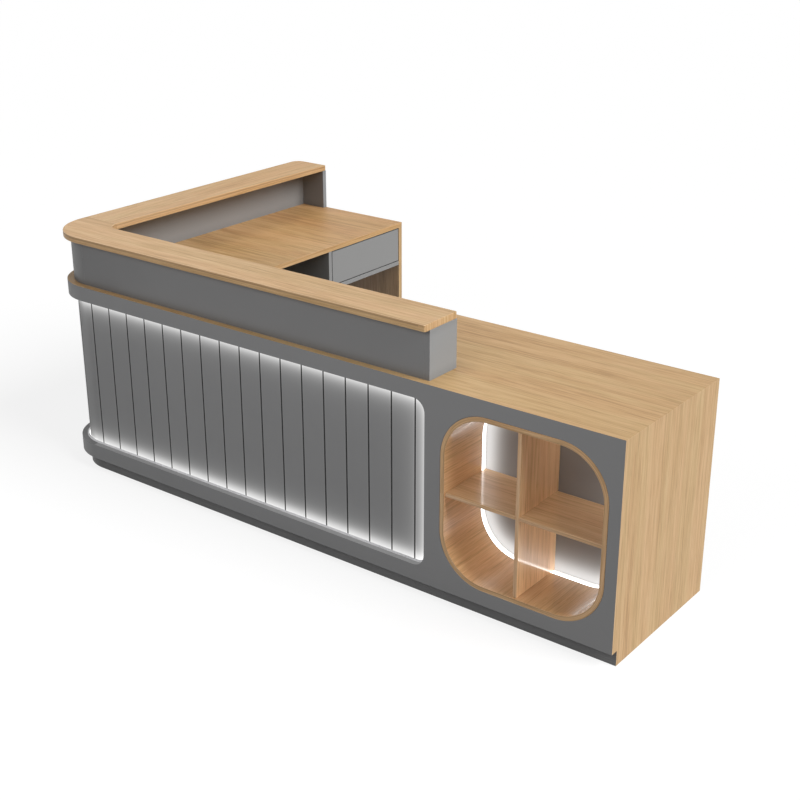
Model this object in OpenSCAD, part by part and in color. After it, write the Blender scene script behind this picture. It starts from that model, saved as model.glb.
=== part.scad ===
// L-shaped reception desk with a raised counter, a lit planked front, a
// rounded display niche, a hanging drawer and a cupboard on the staff side.
// The visitor side faces -Y, the long run goes along +X and the wing goes
// back along +Y from its left end. The origin is on the floor, at the middle
// of the whole desk. Millimetres.

/* [Overall] */
// Length of the visitor side
desk_len = 2500; // [2400:10:2900]
// Depth from the visitor side to the far end of the wing
desk_depth = 1450; // [1400:10:1900]
// Depth of the long worktop
run_depth = 595; // [560:5:660]
// Width of the wing worktop
wing_w = 597; // [560:1:660]
// Height of the worktops
worktop_h = 760; // [740:5:800]
// Height of the counter
counter_h = 950; // [920:5:1100]
// Thickness of worktops, fascias and end panels, which meet in mitres
board_t = 21; // [18:0.5:24]
// Thickness of the inner boards and fronts
inner_t = 18; // [16:0.5:20]
// Outer radius of the corner between the two sides
corner_r = 190; // [170:5:230]

/* [Counter] */
// Thickness of the counter
counter_t = 23; // [18:1:30]
// Width of the counter
counter_w = 170; // [150:5:200]
// Length of the low end, where there is no counter
low_len = 704; // [690:2:800]
// Radius inside the counter's corner
counter_inner_r = 50; // [20:5:60]
// Radius at the far end of the wing's counter, visitor side
counter_far_r = 40; // [10:5:60]
// Radius of the counter's other free corners
counter_end_r = 6; // [2:1:12]
// Setback of the riser behind the counter's edge
riser_setback = 26; // [15:1:40]
// Thickness of the riser panels
riser_t = 25; // [18:1:30]
// Setback of the riser's dividers behind the counter's staff edge
riser_divider_setback = 12; // [5:1:40]
// Number of dividers in the long riser
riser_dividers_n = 2; // [1:1:4]

/* [Plinth] */
// Height of the plinth
plinth_h = 54; // [45:1:70]
// Setback of the plinth
plinth_setback = 30; // [25:1:40]
// Setback of the cupboard's kick board on the staff side
kick_setback = 45; // [30:5:80]

/* [Planked window] */
// Height of the window's lower edge above the floor
window_z0 = 112; // [105:1:130]
// Height of the window's upper edge above the floor
window_z1 = 703; // [680:1:706]
// Radius of the window's corners
window_r = 45; // [25:5:60]
// Setback of the planks behind the fascia's face
plank_setback = 32; // [30:1:36]
// Thickness of the planks
plank_t = 12; // [9:1:15]
// Pitch of the planks
plank_pitch = 95.4; // [80:0.2:120]
// Distance from the rounded corner's end to the first groove
plank_first = 20; // [10:1:40]
// Width of the grooves
groove_w = 5; // [3:0.5:8]
// Depth of the grooves
groove_d = 3; // [1:0.5:4]
// Width of the stile between the front window and the niche
window_stile = 62.5; // [50:0.5:90]
// Width of the stile that closes the wing's window
wing_stile = 96; // [80:2:140]

/* [Lights] */
// Depth of the light channels behind the window's edge
channel_d = 9; // [7:1:12]
// Width of the diffusers
diffuser_w = 3; // [2:0.5:4]
// Height of the lip that hides the diffusers
lip_h = 4; // [2:0.5:6]
// Thickness of the lip
lip_t = 1.5; // [1:0.25:2]
// Thickness of the diffusers
diffuser_t = 2; // [1:0.5:3]
// Thickness of the light strips
strip_t = 1.5; // [1:0.25:2]
// Width of the niche's light ring, between the liner and the back
ring_d = 25; // [20:1:30]

/* [Niche] */
// Outside width of the niche liner
niche_w = 600; // [560:2:604]
// Outside height of the niche liner
niche_h = 598; // [560:2:600]
// Distance from the niche's middle to the desk's end
niche_end = 341.5; // [335:0.5:345]
// Height of the niche's middle
niche_z = 404.5; // [400:0.5:408]
// Outside radius of the liner's corners
niche_r = 170; // [120:5:220]
// Thickness of the liner
liner_t = 16; // [12:1:20]
// Depth of the liner
liner_d = 210; // [180:5:260]
// Thickness of the niche's shelf and divider
shelf_t = 14; // [12:1:18]
// Offset of the divider from the niche's middle, towards the counter
divider_off = 13; // [0:1:30]
// Drop of the shelf below the niche's middle
shelf_off = 4.5; // [0:0.5:20]
// Setback of the shelf and divider behind the liner's edge
cross_setback = 5; // [2:1:15]
// Width of the shadow line round the liner
shadow_w = 1.5; // [1:0.5:3]
// Space between the liner and the gable beside it
liner_gap = 14.5; // [10:0.5:20]

/* [Drawer] */
// Clear width of the drawer unit
drawer_w = 450; // [400:10:500]
// Clear height of the drawer opening
drawer_h = 149; // [140:1:170]
// Length of the drawer box
box_len = 450; // [400:10:450]
// Height of the drawer box
box_h = 100; // [80:5:104]
// Thickness of the drawer box's sides and back
box_t = 12; // [10:1:15]
// Thickness of the drawer bottom
bottom_t = 8; // [5:1:10]
// Height of the drawer box above its deck
box_lift = 16; // [10:1:22]
// Width of a drawer slide, from carcass to box
slide_w = 12.7; // [12.5:0.1:13.5]
// Height of a drawer slide
slide_h = 45; // [40:1:50]
// Thickness of the slide's steel
slide_t = 1.2; // [1:0.1:1.5]

/* [Cupboard] */
// Gap round the doors and the drawer front
reveal = 2.4; // [2.2:0.1:3.5]
// Height of the cupboard shelf above the floor
cupboard_shelf_z = 392; // [300:2:480]
// Length of a hinge
hinge_l = 63; // [45:3:75]
// Outer radius of a hinge's knuckles
hinge_r = 3; // [2.5:0.25:4]
// Radius of a hinge pin
pin_r = 1.5; // [1:0.1:1.8]
// Width of a hinge leaf
leaf_w = 20; // [14:1:26]
// Distance from a door's end to its hinge
hinge_inset = 90; // [60:5:140]

/* [Fittings] */
// Outer diameter of the cable ports' sleeves
port_d = 60; // [50:1:70]
// Inner diameter of the cable ports
port_bore = 52; // [40:1:56]
// Distance of the cable ports from the visitor side
port_v = 240; // [220:5:300]
// Distance of each cable port from the end of the knee space
port_in = 200; // [120:10:300]
// Width of the power module's body
module_w = 27.6; // [27:0.2:30]
// Height of the power module's body
module_h = 50; // [47:1:60]
// Travel angle of the light switch's rocker
rocker_swing = 12; // [8:1:16]
// Length of the light driver's box
driver_l = 180; // [120:5:220]
// Thickness of the light driver's box
driver_t = 30; // [20:1:40]
// Height of the light driver's box
driver_h = 44; // [30:1:60]
// Diameter of a push latch's plunger
plunger_d = 6; // [4:0.5:8]

/* [Hidden] */
$fn = 96;
cut = 1;
// Clearance of pieces that fit into each other
fit = 0.3;
// Radial clearance of pins and plungers in their bores
run_fit = 0.05;

oak = "burlywood";
paint = "dimgray";
pale_paint = "darkgray";
steel = "silver";

seat_z = worktop_h - board_t;
counter_z = counter_h - counter_t;
low_u = desk_len - low_len;
wing_window_end = desk_depth - wing_stile;
plinth_back = plinth_setback + inner_t;
wall_v = plank_setback + plank_t;
batten_t = inner_t;
modesty_v = wall_v + batten_t;
staff_v = modesty_v + inner_t;
batten_w = 60;
niche_u = desk_len - niche_end;
front_window_end = niche_u - niche_w / 2 - window_stile;
niche_gable_u = niche_u - niche_w / 2 - liner_gap - inner_t;
cupboard_u0 = niche_gable_u + inner_t;
cupboard_u1 = desk_len - board_t;
cupboard_mid = (cupboard_u0 + cupboard_u1) / 2;
niche_back_v = liner_d + ring_d;
cupboard_v0 = niche_back_v + inner_t;
front_in = 1;
front_top_gap = 3;
door_v1 = run_depth - front_in;
door_v0 = door_v1 - inner_t;
door_z0 = plinth_h + reveal;
door_z1 = seat_z - front_top_gap;
drawer_v1 = desk_depth - board_t;
drawer_v0 = drawer_v1 - drawer_w;
deck_z1 = seat_z - drawer_h;
drawer_face_u = wing_w - front_in;
drawer_back_u = drawer_face_u - inner_t;
box_u0 = drawer_back_u - box_len;
box_z0 = deck_z1 + box_lift;
slide_mid_z = box_z0 + box_h / 2;
// Gap between neighbouring steel pieces of slides and hinges
slide_gap = 0.4;
middle_half_h = slide_h / 2 - slide_t - slide_gap;
drawer_half_h = middle_half_h - slide_t - slide_gap;
cabinet_flange_share = 0.45;
middle_flange_share = 0.6;
drawer_flange_share = 0.55;

plank_r = corner_r - plank_setback;
corner_arc = PI / 2 * plank_r;
front_groove_n = floor((niche_gable_u - corner_r - plank_first) / plank_pitch) + 1;
corner_groove_n = floor((corner_arc + plank_first) / plank_pitch);
wing_first = corner_r + (corner_groove_n + 1) * plank_pitch - plank_first - corner_arc;
wing_wall_end = desk_depth - board_t;
wing_groove_n = floor((wing_wall_end - groove_w - wing_first) / plank_pitch) + 1;
front_battens_n = 5;
wing_battens_n = 4;

diffuser_v1 = plank_setback - lip_t / 2;
diffuser_v0 = diffuser_v1 - diffuser_w;
lip_v0 = diffuser_v0 - lip_t;
channel_floor = 2;
cross_mid = (cross_setback + niche_back_v) / 2;

// The counter's long part turns the corner, the wing's part butts against it.
counter_joint_v = counter_w + counter_inner_r;

screw_r = 2;
screw_l = 14;
head_r = 3.8;
head_h = 2;
angle_leg = 30;
angle_l = 44;
angle_t = 2;
angle_screw = 18;
front_angle_shares = [0.1, 0.4, 0.7, 0.95];
wing_angle_shares = [0.32, 0.9];
driver_foot = 14;
driver_foot_t = 3;
driver_in = 74;
driver_drop = 44;

flange_edge = 3;
flange_t = 2;
module_depth = 30;
module_in = 190;
module_drop = 90;
inlet_h = 20;
inlet_depth = 14;
blade_w = 2;
blade_h = 4;
blade_l = 10;
blade_pitch = 6;
rocker_h = 20;
rocker_w = 15;
rocker_depth = 16;
rocker_gap = 0.5;
rocker_dish = 2;
pivot_r = 1.2;
pivot_l = 1;
rocker_z = module_h / 2 - flange_edge - rocker_h / 2;
inlet_z = flange_edge + inlet_h / 2 - module_h / 2;

port_rim = 5;
port_rim_t = 2;

hinge_axis_v = run_depth + hinge_r + fit;
hinge_zs = [door_z0 + hinge_inset, door_z1 - hinge_inset - hinge_l];
leaf_t = (reveal - slide_gap) / 2;
knuckle_l = hinge_l / 3;

// Room behind the doors for pressing them against the push latches
press_gap = 4;
latch_l = 50;
latch_w = 14;
latch_above = 9;
latch_wall = 2;
latch_off = 30;
latch_down = 14;
tip_l = 8;
drawer_latch_l = box_u0 - fit - staff_v;

// Everything is drawn from the desk's front left corner on the floor.
module at_desk() {
    translate([-desk_len / 2, -desk_depth / 2, 0]) children();
}

// The wing is laid out like the long run, mirrored across the corner.
module as_wing() {
    mirror([1, -1, 0]) children();
}

module block(lo, hi) {
    translate(lo) cube(hi - lo);
}

// Sweeps a profile, radius by height, round the rounded corner.
module round_corner() {
    translate([corner_r, corner_r, 0]) rotate([0, 0, 180])
        rotate_extrude(angle = 90) children();
}

module corner_board(setback, thick, z0, z1) {
    round_corner() translate([corner_r - setback - thick, z0])
        square([thick, z1 - z0]);
}

// Extrudes a profile, setback by height, along the run.
module along_run(u0, u1) {
    translate([u0, 0, 0]) rotate([90, 0, 90]) linear_extrude(u1 - u0) children();
}

module rounded_rect(w, h, r) {
    square([w - 2 * r, h], center = true);
    square([w, h - 2 * r], center = true);
    for (x = [-1, 1], y = [-1, 1])
        translate([x * (w / 2 - r), y * (h / 2 - r)]) circle(r);
}

// Area outside a rounded corner of radius r at the origin.
module corner_waste(r) {
    difference() {
        translate([-cut, -cut]) square(r + cut);
        translate([r, r]) circle(r);
    }
}

// Wedge under the mitre of a worktop's visitor edge.
module under_mitre_profile() {
    polygon([[-cut, worktop_h + cut], [-cut, seat_z - cut],
        [board_t + cut, seat_z - cut]]);
}

// Wedge above the mitre of a fascia's top edge.
module over_mitre_profile() {
    polygon([[-cut, worktop_h + cut], [board_t + cut, worktop_h + cut],
        [board_t + cut, seat_z - cut]]);
}

module round_under_mitre() {
    round_corner() polygon([[corner_r + cut, worktop_h + cut],
        [corner_r + cut, seat_z - cut], [corner_r - board_t - cut, seat_z - cut]]);
}

// Wedge under the mitre at the end of a worktop.
module end_under_mitre(len, depth) {
    translate([0, depth + cut, 0]) rotate([90, 0, 0]) linear_extrude(depth + 2 * cut)
        polygon([[len + cut, worktop_h + cut], [len - board_t - cut, seat_z - cut],
            [len + cut, seat_z - cut]]);
}

module run_end_panel(len, depth) {
    difference() {
        block([len - board_t, 0, 0], [len, depth, worktop_h]);
        translate([0, depth + cut, 0]) rotate([90, 0, 0])
            linear_extrude(depth + 2 * cut)
                polygon([[len + cut, worktop_h + cut],
                    [len - board_t - cut, seat_z - cut],
                    [len - board_t - cut, worktop_h + cut]]);
        translate([0, 0, -cut]) linear_extrude(worktop_h + 2 * cut)
            polygon([[len + cut, -cut], [len - board_t - cut, -cut],
                [len - board_t - cut, board_t + cut]]);
        translate([0, 0, -cut]) linear_extrude(plinth_h + cut)
            polygon([[len - board_t - cut, -cut], [len + cut, -cut],
                [len + cut, plinth_setback], [len, plinth_setback],
                [len - inner_t, plinth_back], [len - board_t - cut, plinth_back]]);
    }
}

// Outline of the window, grown by a width all round.
module window_shape(win_end, grow) {
    r = window_r + grow;
    u0 = corner_r - cut;
    z0 = window_z0 - grow;
    z1 = window_z1 + grow;
    translate([u0, z0]) square([win_end + grow - r - u0, z1 - z0]);
    translate([u0, z0 + r]) square([win_end + grow - u0, z1 - z0 - 2 * r]);
    for (z = [z0 + r, z1 - r])
        translate([win_end + grow - r, z]) circle(r);
}

module through_run(v0, v1) {
    translate([0, v1, 0]) rotate([90, 0, 0]) linear_extrude(v1 - v0) children();
}

module run_fascia(len, win_end) {
    difference() {
        block([corner_r, 0, plinth_h], [len, board_t, worktop_h]);
        along_run(corner_r - cut, len + cut) over_mitre_profile();
        translate([0, 0, -cut]) linear_extrude(worktop_h + 2 * cut)
            polygon([[len + cut, -cut], [len + cut, board_t + cut],
                [len - board_t - cut, board_t + cut]]);
        through_run(-cut, board_t + cut) window_shape(win_end, 0);
    }
}

module run_planks(u1, first, count) {
    difference() {
        block([corner_r, plank_setback, plinth_h], [u1, wall_v, seat_z]);
        for (i = [0 : count - 1])
            translate([first + i * plank_pitch, plank_setback, plinth_h - cut])
                linear_extrude(seat_z - plinth_h + 2 * cut) groove_shape();
    }
}

// A V groove, open towards -Y.
module groove_shape() {
    polygon([[-groove_w / 2, 0], [-groove_w / 2, -cut], [groove_w / 2, -cut],
        [groove_w / 2, 0], [0, groove_d]]);
}

// Light channel in section: outward from the window's edge by setback.
module channel_section() {
    difference() {
        union() {
            translate([0, board_t]) square([channel_d, plank_setback - board_t]);
            translate([-lip_h, lip_v0]) square([lip_h + cut, lip_t]);
        }
        translate([-cut, diffuser_v0])
            square([channel_d - channel_floor + cut, diffuser_w]);
    }
}

module diffuser_section() {
    translate([0, diffuser_v0]) square([diffuser_t, diffuser_w]);
}

module strip_section() {
    translate([channel_d - channel_floor - strip_t, diffuser_v0])
        square([strip_t, diffuser_w]);
}

// Follow the window's edge of one run with a section.
module lower_run(win_end) {
    along_run(corner_r, win_end - window_r)
        translate([0, window_z0]) rotate(-90) children();
}

module window_bend(win_end, z, turn) {
    translate([win_end - window_r, 0, z]) rotate([90, 0, 0]) rotate([0, 0, turn])
        rotate_extrude(angle = 90) translate([window_r, 0]) mirror([0, 1])
            children();
}

module flip_window() {
    translate([0, 0, window_z0 + window_z1]) mirror([0, 0, 1]) children();
}

module run_trim(win_end) {
    lower_run(win_end) children();
    flip_window() lower_run(win_end) children();
    window_bend(win_end, window_z0 + window_r, -90) children();
    window_bend(win_end, window_z1 - window_r, 0) children();
    translate([win_end, 0, window_z0 + window_r])
        linear_extrude(window_z1 - window_z0 - 2 * window_r) children();
}

module lower_corner_trim() {
    round_corner() translate([corner_r, window_z0]) mirror([1, 0]) rotate(-90)
        children();
}

module window_trim() {
    run_trim(front_window_end) children();
    as_wing() run_trim(wing_window_end) children();
    lower_corner_trim() children();
    flip_window() lower_corner_trim() children();
}

module worktop_front() {
    color(oak) at_desk() difference() {
        translate([0, 0, seat_z]) linear_extrude(board_t) difference() {
            square([desk_len, run_depth]);
            corner_waste(corner_r);
        }
        along_run(corner_r, desk_len + cut) under_mitre_profile();
        as_wing() along_run(corner_r, run_depth + cut) under_mitre_profile();
        round_under_mitre();
        end_under_mitre(desk_len, run_depth);
        port_holes();
    }
}

module port_places() {
    for (u = [wing_w + port_in, niche_gable_u - port_in])
        translate([u, port_v, 0]) children();
}

module port_holes() {
    port_places() translate([0, 0, seat_z - cut])
        cylinder(d = port_d + 2 * run_fit, h = board_t + 2 * cut);
}

module worktop_wing() {
    color(oak) at_desk() difference() {
        block([0, run_depth, seat_z], [wing_w, desk_depth, worktop_h]);
        as_wing() along_run(run_depth - cut, desk_depth + cut) under_mitre_profile();
        as_wing() end_under_mitre(desk_depth, wing_w);
    }
}

module end_panel_right() {
    color(oak) at_desk() run_end_panel(desk_len, run_depth);
}

module end_panel_wing() {
    color(oak) at_desk() as_wing() run_end_panel(desk_depth, wing_w);
}

module counter_front() {
    color(oak) at_desk() translate([0, 0, counter_z]) linear_extrude(counter_t)
        difference() {
            union() {
                square([low_u, counter_w]);
                square([counter_w, counter_joint_v]);
                square(counter_joint_v);
            }
            corner_waste(corner_r);
            translate([counter_joint_v, counter_joint_v]) circle(counter_inner_r);
            translate([low_u, 0]) mirror([1, 0]) corner_waste(counter_end_r);
            translate([low_u, counter_w]) rotate(180) corner_waste(counter_end_r);
        }
}

module counter_wing() {
    color(oak) at_desk() translate([0, 0, counter_z]) linear_extrude(counter_t)
        difference() {
            translate([0, counter_joint_v])
                square([counter_w, desk_depth - counter_joint_v]);
            translate([0, desk_depth]) mirror([0, 1]) corner_waste(counter_far_r);
            translate([counter_w, desk_depth]) rotate(180)
                corner_waste(counter_end_r);
        }
}

module front_fascia() {
    color(paint) at_desk() difference() {
        run_fascia(desk_len, front_window_end);
        translate([niche_u, 0, niche_z]) {
            through_run(-cut, board_t + cut)
                rounded_rect(niche_w + 2 * fit, niche_h + 2 * fit, niche_r + fit);
            through_run(-cut, shadow_w)
                rounded_rect(niche_w + 2 * shadow_w, niche_h + 2 * shadow_w,
                    niche_r + shadow_w);
        }
    }
}

module wing_fascia() {
    color(paint) at_desk() as_wing() run_fascia(desk_depth, wing_window_end);
}

module corner_bands() {
    color(paint) at_desk() {
        corner_board(0, board_t, plinth_h, window_z0);
        difference() {
            corner_board(0, board_t, window_z1, worktop_h);
            round_corner() polygon([[corner_r + cut, worktop_h + cut],
                [corner_r - board_t - cut, worktop_h + cut],
                [corner_r - board_t - cut, seat_z - cut]]);
        }
    }
}

module riser_front() {
    color(paint) at_desk() block([corner_r, riser_setback, worktop_h],
        [low_u - board_t, riser_setback + riser_t, counter_z]);
}

module riser_corner() {
    color(paint) at_desk()
        corner_board(riser_setback, riser_t, worktop_h, counter_z);
}

module riser_wing() {
    color(paint) at_desk() as_wing() block([corner_r, riser_setback, worktop_h],
        [desk_depth - board_t, riser_setback + riser_t, counter_z]);
}

module riser_ends() {
    color(pale_paint) at_desk() {
        block([low_u - board_t, riser_setback, worktop_h],
            [low_u, counter_w, counter_z]);
        as_wing() block([desk_depth - board_t, riser_setback, worktop_h],
            [desk_depth, counter_w, counter_z]);
    }
}

module riser_dividers() {
    span = low_u - board_t - corner_r;
    color(pale_paint) at_desk() for (i = [1 : riser_dividers_n])
        translate([corner_r + i * span / (riser_dividers_n + 1), 0, 0])
            block([0, riser_setback + riser_t, worktop_h],
                [inner_t, counter_w - riser_divider_setback, counter_z]);
}

module run_plinth(len) {
    linear_extrude(plinth_h)
        polygon([[corner_r, plinth_setback], [len, plinth_setback],
            [len - inner_t, plinth_back], [corner_r, plinth_back]]);
}

module plinth_front() {
    color("darkslategray") at_desk() run_plinth(desk_len);
}

module plinth_corner() {
    color("darkslategray") at_desk()
        corner_board(plinth_setback, inner_t, 0, plinth_h);
}

module plinth_wing() {
    color("darkslategray") at_desk() as_wing() run_plinth(desk_depth);
}

module planks_front() {
    color(pale_paint) at_desk()
        run_planks(niche_gable_u, corner_r + plank_first, front_groove_n);
}

module planks_corner() {
    color(pale_paint) at_desk() difference() {
        corner_board(plank_setback, plank_t, plinth_h, seat_z);
        for (i = [1 : corner_groove_n]) {
            turn = (i * plank_pitch - plank_first) / plank_r * 180 / PI;
            translate([corner_r, corner_r, plinth_h - cut]) rotate([0, 0, -turn])
                translate([0, -plank_r, 0])
                    linear_extrude(seat_z - plinth_h + 2 * cut) groove_shape();
        }
    }
}

module planks_wing() {
    color(pale_paint) at_desk() as_wing()
        run_planks(wing_wall_end, wing_first, wing_groove_n);
}

// Packers between fascia and planks, with the window left open.
module run_packer(u1, win_end) {
    difference() {
        block([corner_r, board_t, plinth_h], [u1, plank_setback, seat_z]);
        through_run(board_t - cut, plank_setback + cut)
            window_shape(win_end, channel_d);
    }
}

module run_battens(u1, count) {
    for (i = [0 : count - 1])
        translate([corner_r + i * (u1 - corner_r - batten_w) / (count - 1), 0, 0])
            block([0, wall_v, plinth_h], [batten_w, modesty_v, seat_z]);
}

module wall_battens() {
    color("tan") at_desk() {
        run_packer(niche_gable_u, front_window_end);
        as_wing() run_packer(wing_wall_end, wing_window_end);
        corner_board(board_t, plank_setback - board_t, plinth_h,
            window_z0 - channel_d);
        corner_board(board_t, plank_setback - board_t, window_z1 + channel_d, seat_z);
        run_battens(niche_gable_u, front_battens_n);
        as_wing() run_battens(wing_wall_end, wing_battens_n);
        corner_board(wall_v, batten_t, seat_z - batten_w, seat_z);
        corner_board(wall_v, batten_t, plinth_h, plinth_h + batten_w);
    }
}

module run_modesty(u1) {
    block([corner_r, modesty_v, 0], [u1, staff_v, seat_z]);
}

module modesty_front() {
    color(pale_paint) at_desk() run_modesty(niche_gable_u);
}

module modesty_corner() {
    color(pale_paint) at_desk() corner_board(modesty_v, inner_t, 0, seat_z);
}

module modesty_wing() {
    color(pale_paint) at_desk() as_wing() run_modesty(wing_wall_end);
}

module gable_corner() {
    color(pale_paint) at_desk() difference() {
        block([wing_w - inner_t, staff_v, 0], [wing_w, run_depth, seat_z]);
        module_place() translate([-inner_t - cut, 0, 0])
            module_block(inner_t + 2 * cut, fit);
    }
}

module gable_niche() {
    color(pale_paint) at_desk() difference() {
        block([niche_gable_u, board_t, 0], [cupboard_u0, run_depth, seat_z]);
        block([niche_gable_u - cut, board_t - cut, -cut],
            [cupboard_u0 + cut, plinth_back, plinth_h]);
    }
}

module gable_drawer() {
    color(pale_paint) at_desk() block([staff_v, drawer_v0 - inner_t, 0],
        [drawer_face_u, drawer_v0, seat_z]);
}

module liner_ring(grow_in, width) {
    difference() {
        rounded_rect(niche_w - 2 * grow_in, niche_h - 2 * grow_in, niche_r - grow_in);
        rounded_rect(niche_w - 2 * grow_in - 2 * width,
            niche_h - 2 * grow_in - 2 * width, niche_r - grow_in - width);
    }
}

module at_niche(v0, v1) {
    translate([niche_u, 0, niche_z]) through_run(v0, v1) children();
}

module niche_liner() {
    color(oak) at_desk() at_niche(0, liner_d) liner_ring(0, liner_t);
}

module niche_divider() {
    color(oak) at_desk() translate([niche_u - divider_off, 0, niche_z]) difference() {
        block([-shelf_t / 2, cross_setback, liner_t - niche_h / 2],
            [shelf_t / 2, niche_back_v, niche_h / 2 - liner_t]);
        translate([0, 0, -shelf_off])
            block([-shelf_t, cross_mid, -shelf_t / 2 - run_fit],
                [shelf_t, niche_back_v + cut, shelf_t / 2 + run_fit]);
    }
}

module niche_shelf() {
    color(oak) at_desk() translate([niche_u, 0, niche_z - shelf_off]) difference() {
        block([liner_t - niche_w / 2, cross_setback, -shelf_t / 2],
            [niche_w / 2 - liner_t, niche_back_v, shelf_t / 2]);
        translate([-divider_off, 0, 0])
            block([-shelf_t / 2 - run_fit, cross_setback - cut, -shelf_t],
                [shelf_t / 2 + run_fit, cross_mid, shelf_t]);
    }
}

module niche_back() {
    color(pale_paint) at_desk() block([cupboard_u0, niche_back_v, 0],
        [cupboard_u1, cupboard_v0, seat_z]);
}

// A ring in the niche's light channel, set in from the liner's outside.
module niche_light_ring(grow_in, width) {
    at_niche(liner_d + lip_t, niche_back_v - lip_t) liner_ring(grow_in, width);
}

module led_channels() {
    color(steel) at_desk() {
        window_trim() channel_section();
        difference() {
            at_niche(liner_d, niche_back_v) liner_ring(0, liner_t);
            niche_light_ring(channel_floor, liner_t - channel_floor + cut);
        }
    }
}

module led_strips() {
    color("khaki") at_desk() {
        window_trim() strip_section();
        niche_light_ring(channel_floor, strip_t);
    }
}

module led_diffusers() {
    color("white") at_desk() {
        window_trim() diffuser_section();
        niche_light_ring(liner_t - diffuser_t, diffuser_t);
    }
}

// The driver is fixed to the modesty panel, in the corner behind the gable.
module driver_place() {
    translate([corner_r + driver_in, staff_v, seat_z - driver_drop - driver_h])
        children();
}

// Places of the driver's screws, each with its head's seat at the origin.
module driver_screws() {
    for (u = [-driver_foot / 2, driver_l + driver_foot / 2])
        translate([u, driver_foot_t, driver_h / 2]) rotate([90, 0, 0]) children();
}

module led_driver() {
    color("white") at_desk() driver_place() difference() {
        union() {
            cube([driver_l, driver_t, driver_h]);
            translate([-driver_foot, 0, 0])
                cube([driver_l + 2 * driver_foot, driver_foot_t, driver_h]);
        }
        driver_screws() screw_hole(driver_foot_t);
    }
}

// Power inlet and light switch in one module, let into the corner gable.
module module_place() {
    translate([wing_w, run_depth - module_in, seat_z - module_drop]) children();
}

module module_block(depth, grow) {
    translate([0, -module_w / 2 - grow, -module_h / 2 - grow])
        cube([depth, module_w + 2 * grow, module_h + 2 * grow]);
}

module power_module() {
    color("black") at_desk() module_place() {
        difference() {
            union() {
                translate([-module_depth, 0, 0]) module_block(module_depth, 0);
                module_block(flange_t, flange_edge);
            }
            translate([flange_t - inlet_depth, flange_edge - module_w / 2,
                inlet_z - inlet_h / 2])
                cube([inlet_depth + cut, module_w - 2 * flange_edge, inlet_h]);
            translate([flange_t - rocker_depth, -rocker_w / 2, rocker_z - rocker_h / 2])
                cube([rocker_depth + cut, rocker_w, rocker_h]);
            at_pivot() pivot_pin(pivot_r + run_fit, pivot_l + cut);
        }
        for (side = [-1, 0, 1])
            translate([flange_t - inlet_depth, side * blade_pitch - blade_w / 2,
                inlet_z - abs(side) * blade_h / 2])
                cube([blade_l, blade_w, blade_h]);
    }
}

module at_pivot() {
    translate([flange_t - rocker_depth / 2, 0, rocker_z]) children();
}

module pivot_pin(r, past) {
    rotate([90, 0, 0]) cylinder(r = r, h = rocker_w + 2 * past, center = true);
}

module light_rocker() {
    half_h = rocker_h / 2 - 2 * rocker_gap;
    back = rocker_depth / 4;
    front = rocker_depth / 2 + flange_t / 2;
    color("black") at_desk() module_place() at_pivot()
        rotate([0, -rocker_swing / 2, 0]) {
            pivot_pin(pivot_r, pivot_l - rocker_gap / 2);
            rotate([90, 0, 0]) linear_extrude(rocker_w - rocker_gap, center = true)
                polygon([[-back, -half_h], [front, -half_h], [front - rocker_dish, 0],
                    [front, half_h], [-back, half_h]]);
        }
}

module cable_ports() {
    color("dimgray") at_desk() port_places() difference() {
        union() {
            translate([0, 0, seat_z]) cylinder(d = port_d, h = board_t + cut);
            translate([0, 0, worktop_h])
                cylinder(d = port_d + 2 * port_rim, h = port_rim_t);
        }
        translate([0, 0, seat_z - cut])
            cylinder(d = port_bore, h = board_t + port_rim_t + 2 * cut);
    }
}

module cupboard_floor() {
    color(pale_paint) at_desk() block([cupboard_u0, cupboard_v0, plinth_h],
        [cupboard_u1, door_v0 - press_gap, plinth_h + inner_t]);
}

module cupboard_shelf() {
    color(pale_paint) at_desk() block([cupboard_u0, cupboard_v0, cupboard_shelf_z],
        [cupboard_u1, door_v0 - inner_t, cupboard_shelf_z + inner_t]);
}

module cupboard_kick() {
    color("darkslategray") at_desk() block(
        [cupboard_u0, door_v1 - kick_setback - inner_t, 0],
        [cupboard_u1, door_v1 - kick_setback, plinth_h]);
}

// The doors meet in the middle with one reveal between them.
module door_left() {
    color(pale_paint) at_desk() block([cupboard_u0 + reveal, door_v0, door_z0],
        [cupboard_mid - reveal / 2, door_v1, door_z1]);
}

module door_right() {
    color(pale_paint) at_desk() block([cupboard_mid + reveal / 2, door_v0, door_z0],
        [cupboard_u1 - reveal, door_v1, door_z1]);
}

// A hinge in its own frame: the pin stands on the origin, the gable lies
// towards -X and the closed door towards +X.
module hinge_knuckle(z0, z1) {
    translate([0, 0, z0]) cylinder(r = hinge_r, h = z1 - z0);
}

module hinge_leaf(x0, moving) {
    lo = moving ? knuckle_l + fit / 2 : 0;
    hi = moving ? 2 * knuckle_l - fit / 2 : hinge_l;
    clear_v = -hinge_r - fit;
    difference() {
        union() {
            block([x0, -leaf_w, 0], [x0 + leaf_t, clear_v, hinge_l]);
            block([x0, clear_v - cut, lo], [x0 + leaf_t, 0, hi]);
            if (moving) {
                hinge_knuckle(lo, hi);
            } else {
                hinge_knuckle(0, knuckle_l - fit / 2);
                hinge_knuckle(2 * knuckle_l + fit / 2, hinge_l);
            }
        }
        translate([0, 0, -cut]) cylinder(r = pin_r + run_fit, h = hinge_l + 2 * cut);
        if (!moving)
            block([-hinge_r - cut, clear_v, knuckle_l - fit / 2],
                [hinge_r + cut, hinge_r + cut, 2 * knuckle_l + fit / 2]);
    }
}

module hinge_pin() {
    cylinder(r = pin_r, h = hinge_l);
}

module left_hinges() {
    for (z = hinge_zs)
        translate([cupboard_u0 + reveal / 2, hinge_axis_v, z]) children();
}

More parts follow.
